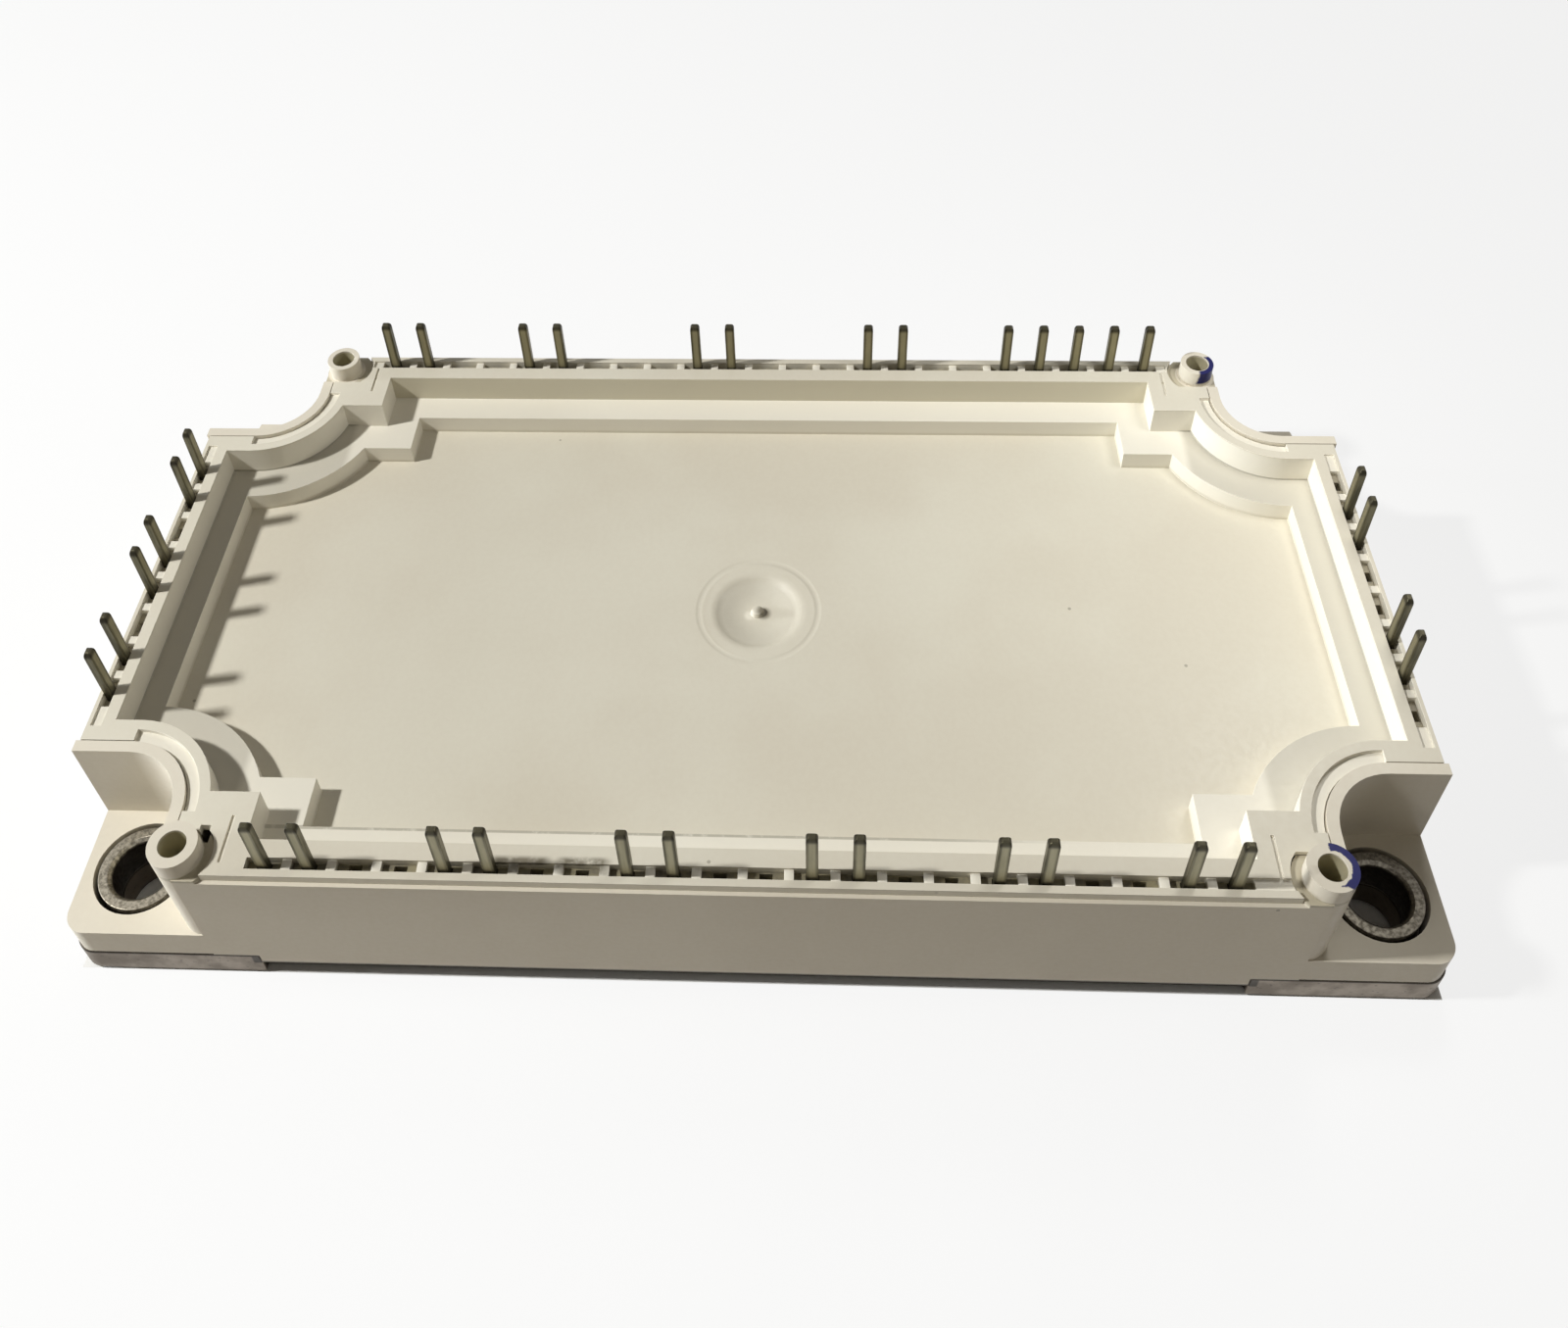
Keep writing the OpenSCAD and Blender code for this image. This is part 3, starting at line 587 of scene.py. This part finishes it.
# %% Gate dish
def away(x0, y0):
    """Distance in plan from a point of the lid."""
    to_x, to_y = maths(t, "SUBTRACT", at["X"], x0), maths(t, "SUBTRACT", at["Y"], y0)
    v = add(t, "CombineXYZ", {"X": to_x, "Y": to_y})
    return add(t, "VectorMath", {0: v.outputs[0]}, operation="LENGTH").outputs["Value"]


# Painted shadow to the right of the nub, and a painted highlight on its left.
nub_shadow = below(t, away(0.62 * MM, 0.55 * MM), 0.3 * MM, 0.65 * MM)
nub_highlight = below(t, away(-0.8 * MM, 0.3 * MM), 0.2 * MM, 0.55 * MM)
colour = paint(t, nub_shadow, 0.8, colour, "5F5643")
colour = paint(t, nub_highlight, 0.7, colour, "FFFAEC")
t.links.new(colour, s.inputs["Base Color"])
DISH, DISH_DEPTH = 4.9 * MM, 1.0 * MM
RING, RING_DEPTH = 5.9 * MM, 0.045 * MM
r = away(0.1 * MM, 0.6 * MM)
bowl = maths(t, "MULTIPLY", maths(t, "POWER", above(t, r, 0.0, DISH), 2.0), DISH_DEPTH)
ring = maths(t, "MULTIPLY", band(t, r, RING, RING + 0.1 * MM, 0.35 * MM), -RING_DEPTH)
skin = s.inputs["Normal"].links[0].from_socket
relief = maths(t, "ADD", bowl, ring)
hollow = add(t, "Bump", {"Strength": 1.0, "Distance": 1.0, "Height": relief, "Normal": skin})
t.links.new(hollow.outputs[0], s.inputs["Normal"])
tray.data.materials.clear()
tray.data.materials.append(lid_plastic)
print("dish", DISH, "ring", RING)

# %% [markdown]
# ## Metals
# The bushes are a finely speckled grey bronze and the plate is dull nickel. One
# function makes these and the finishes of the parts that lie inside the module: a
# noise mixes two tints, and moves the roughness and the height with them.

# %% Metal finishes
def metal(name, light, dark, roughness, scale, metallic=1.0):
    """A worn metal: two tints mixed by a noise, with fine dark specks."""
    m, t, s = material(name)
    where = add(t, "TexCoord").outputs["Object"]
    n = add(t, "TexNoise", {"Vector": where, "Scale": scale, "Detail": 4.0, "Roughness": 0.6}).outputs[0]
    c = mix(t, ramp(t, n, 0.35, 0.65), rgb(light), rgb(dark))
    dots = add(t, "Group", {"Scale": 2500.0, "Size": 0.3, "Amount": 0.25}, node_tree=specks)
    c = paint(t, dots.outputs[0], 0.35, c, "3A3630")
    t.links.new(c, s.inputs["Base Color"])
    t.links.new(ramp(t, n, 0.3, 0.7, roughness - 0.08, roughness + 0.1), s.inputs["Roughness"])
    bump = add(t, "Bump", {"Strength": 0.25, "Distance": 0.00003, "Height": n})
    t.links.new(bump.outputs[0], s.inputs["Normal"])
    s.inputs["Metallic"].default_value = metallic
    return m


finishes = {
    "base_metal": metal("nickel_plate", "857B6E", "6C6358", 0.45, 260.0),
    "bush_metal": metal("bush_metal", "9A9384", "605A4E", 0.38, 3000.0, metallic=0.8),
    "adhesive": metal("adhesive_grey", "B4B1A8", "9C998F", 0.6, 300.0, metallic=0.0),
    "copper": metal("bare_copper", "B87A55", "8C5436", 0.35, 300.0),
    "substrate_ceramic": metal("white_ceramic", "E6E4DC", "D2CFC4", 0.55, 200.0, metallic=0.0),
    "solder": metal("grey_solder", "9FA0A0", "767777", 0.4, 300.0),
    "chip": metal("chip_face", "5A5C66", "3C3E48", 0.25, 900.0),
    "sensor": metal("sensor_body", "40443C", "2C2F2A", 0.45, 500.0, metallic=0.0),
    "ribbon": metal("aluminium_ribbon", "C9CACB", "A5A6A7", 0.35, 600.0),
}
print("metals and inner finishes", sorted(finishes))

# %% [markdown]
# ## Painted shade on the plate and the bushes
# The plate's edge is painted with shade where the skirt hangs over it and at the step
# between the two, and has a dark line along its seam with the ears. The bushes' bores are
# painted dark brown with shade below a bright flange, and the bushes on the right are
# painted darker with shade.

# %% Plate and bush shade
def darken_shade_and_seams(m, colour, masks):
    """Darken a finish's base colour where masks(tree, places) says so."""
    t = m.node_tree
    s = t.nodes["Principled BSDF"]
    at = add(t, "Group", node_tree=places).outputs
    base = s.inputs["Base Color"].links[0].from_socket
    t.links.new(mix(t, masks(t, at), base, rgb(colour)), s.inputs["Base Color"])


def plate_shade_and_seam_masks(t, at):
    """Under the skirt, along the seam and at the step beside each ear."""
    # Painted shade under the skirt and at the step, and a dark line along the seam.
    under_skirt_shade = both(t, below(t, at["Across"], 30.6 * MM, 0.2 * MM), below(t, at["Along"], 43.4 * MM, 0.3 * MM))
    seam = above(t, at["Height"], 2.72 * MM, 0.14 * MM)
    beside_ear = band(t, at["Along"], 43.4 * MM, 44.1 * MM, 0.2 * MM)
    step_shade = both(t, beside_ear, band(t, at["Height"], 1.7 * MM, 3.0 * MM, 0.2 * MM))
    return maths(t, "MULTIPLY", either(t, under_skirt_shade, seam, step_shade), 0.85)


BUSH_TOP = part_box("bush_1")[1][2]


def bush_shade_masks(t, at):
    """Inside the bore, and all over the bushes on the right."""
    # Painted shade inside the bore and over the bushes on the right.
    bore_shade = below(t, at["Height"], BUSH_TOP - 0.6 * MM, 0.2 * MM)
    right = above(t, at["X"], 0.0, 10.0 * MM)
    return either(t, maths(t, "MULTIPLY", bore_shade, 0.9), maths(t, "MULTIPLY", right, 0.45))


darken_shade_and_seams(finishes["base_metal"], "2B2722", plate_shade_and_seam_masks)
darken_shade_and_seams(finishes["bush_metal"], "1E1713", bush_shade_masks)
print("bush top", round(BUSH_TOP, 5))

# %% [markdown]
# ## Tinned pins
# Each pin has a painted highlight, a bright stripe down its middle, so its sides look
# darker. It is darker towards its tip and painted with shade low down, where it stands
# in its slot. The pins' places are a 3.81 mm grid, so a repeating distance from the
# pin's middle finds the stripe on all pins of one side at once.

# %% Pin finish
PITCH = 3.81 * MM
PIN_TOP = cad_box[1][2]


def pin_metal(name, axis, shift):
    """Tinned metal striped along the pins of one side. Their grid runs along axis, X or Y.
    shift is 0 where the grid has a place on the middle line, 0.5 where that is a gap."""
    m, t, s = material(name)
    at = add(t, "Group", node_tree=places).outputs
    turns = maths(t, "ADD", maths(t, "DIVIDE", at[axis], PITCH), 100.5 + shift)
    aside = maths(t, "ABSOLUTE", maths(t, "SUBTRACT", maths(t, "FRACT", turns), 0.5))
    place = add(t, "TexCoord").outputs["Object"]
    drawn = add(t, "Mapping", {"Vector": place, "Scale": (1, 1, 0.1)}).outputs[0]
    n = add(t, "TexNoise", {"Vector": drawn, "Scale": 1800.0, "Detail": 4.0, "Roughness": 0.6}).outputs[0]
    # Painted highlight: a bright stripe down each pin's middle.
    stripe_highlight = ramp(t, aside, 0.045, 0.10, 1.0, 0.0)
    c = mix(t, ramp(t, n, 0.35, 0.65), rgb("69644F"), rgb("4A4737"))
    c = paint(t, stripe_highlight, 0.6, c, "A09A7E")
    c = paint(t, above(t, at["Height"], PIN_TOP - 0.9 * MM, 0.55 * MM), 0.8, c, "1E1B16")
    # Painted shade low on the pin, where it stands in its slot.
    c = paint(t, below(t, at["Height"], 16.2 * MM, 2.0 * MM), 0.55, c, "2E2A20")
    t.links.new(c, s.inputs["Base Color"])
    t.links.new(ramp(t, n, 0.3, 0.7, 0.36, 0.52), s.inputs["Roughness"])
    bump = add(t, "Bump", {"Strength": 0.25, "Distance": 0.00003, "Height": n})
    t.links.new(bump.outputs[0], s.inputs["Normal"])
    s.inputs["Metallic"].default_value = 1.0
    return m


pins = {
    "front": pin_metal("tinned_pin_front", "X", 0.5),
    "back": pin_metal("tinned_pin_back", "X", 0.0),
    "left": pin_metal("tinned_pin_left", "Y", 0.5),
    "right": pin_metal("tinned_pin_right", "Y", 0.5),
}
print("pin finishes", sorted(pins))

# %% [markdown]
# ## Giving each piece its finish
# A CAD node keeps its own mesh, so its finish is hung on the object's slot and not on
# the mesh. A pin's name says which side it stands on.

# %% Finishes in place
plate.data.materials.clear()
plate.data.materials.append(finishes["base_metal"])
for name, o in nodes.items():
    if name in ("housing_frame", "lid", "base_plate"):
        continue
    slot = o.data.materials[0].name.split(".")[0]
    o.material_slots[0].link = "OBJECT"
    side = name.split("_")[1]
    o.material_slots[0].material = pins[side] if name.startswith("pin_") else finishes[slot]
print("dressed", len(nodes) - 3, "nodes and 3 copies")

# %% [markdown]
# ## Soft edges on the small metal parts
# The pins are sheared from strip and the bushes are pressed, so their edges are only
# slightly broken. Weld and Bevel modifiers do that on the nodes themselves.

# %% Pin and bush edges
def broken_edges(node, width):
    """A Weld and then a Bevel modifier on a CAD node."""
    o = nodes[node]
    o.modifiers.new("weld", "WELD").merge_threshold = 2e-7
    b = o.modifiers.new("soft", "BEVEL")
    b.width = width
    b.segments = 2
    b.limit_method = "ANGLE"
    b.angle_limit = math.radians(30)
    b.harden_normals = False


bush_names = [name for name in nodes if name.startswith("bush_")]
for name in pin_names:
    broken_edges(name, 0.09 * MM)
for name in bush_names:
    broken_edges(name, 0.08 * MM)
print("broken edges on", len(pin_names), "pins and", len(bush_names), "bushes")

# %% [markdown]
# ## Floor
# A plain pale floor, a grid of a few large faces just below the module. It belongs to
# the picture and not to the module.

# %% Floor
def grid_mesh(name, points):
    """A mesh from an array of points (rows, columns, 3), one quad per cell."""
    r, c = points.shape[:2]
    i = np.arange(r * c).reshape(r, c)
    q = np.stack([i[:-1, :-1], i[:-1, 1:], i[1:, 1:], i[1:, :-1]], axis=-1).reshape(-1, 4)
    mesh = bpy.data.meshes.new(name)
    mesh.from_pydata(points.reshape(-1, 3).tolist(), [], q.tolist())
    mesh.update()
    o = bpy.data.objects.new(name, mesh)
    bpy.context.scene.collection.objects.link(o)
    return o


FLOOR_HALF = 3.0
FLOOR_GAP = 0.2 * MM
u, w = np.meshgrid(np.linspace(-FLOOR_HALF, FLOOR_HALF, 9), np.linspace(-FLOOR_HALF, FLOOR_HALF, 9))
floor = grid_mesh("floor", np.stack([u, w, np.full_like(u, -FLOOR_GAP)], axis=-1))
print("floor", len(floor.data.polygons), "quads")

# %% [markdown]
# ## A white floor that keeps its shadow
# The camera and reflections see the floor mostly as a white glow, mixed with enough
# of the real surface to show the module's shadow. Below the module it does not glow,
# and the light that it throws back onto the module is dimmed.

# %% Floor finish
GLOW = 0.8
m, t, s = material("pale_floor")
where = add(t, "TexCoord").outputs["Object"]
n = add(t, "TexNoise", {"Vector": where, "Scale": 4.0}).outputs[0]
ray_kind = add(t, "LightPath").outputs
pale = mix(t, n, rgb("F4F4F2"), rgb("F0F0EE"))
t.links.new(mix(t, ray_kind["Is Diffuse Ray"], pale, rgb("B8B1A5")), s.inputs["Base Color"])
s.inputs["Roughness"].default_value = 0.9
part = add(t, "SeparateXYZ", {"Vector": where})
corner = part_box("base_plate")[1]
along = maths(t, "GREATER_THAN", maths(t, "ABSOLUTE", part.outputs[0]), corner[0])
across = maths(t, "GREATER_THAN", maths(t, "ABSOLUTE", part.outputs[1]), corner[1])
shown = either(t, *(ray_kind["Is %s Ray" % kind] for kind in ("Camera", "Glossy", "Transmission")))
white = maths(t, "MULTIPLY", shown, maths(t, "MULTIPLY", either(t, along, across), GLOW))
glow = add(t, "Emission", {"Color": (1, 1, 1, 1), "Strength": 1.0})
blend = add(t, "MixShader", {0: white, 1: s.outputs[0], 2: glow.outputs[0]})
out = [x for x in t.nodes if x.type == "OUTPUT_MATERIAL"][0]
t.links.new(blend.outputs[0], out.inputs[0])
floor.data.materials.append(m)
print("floor finish", m.name)

# %% Update the view layer
bpy.context.view_layer.update()
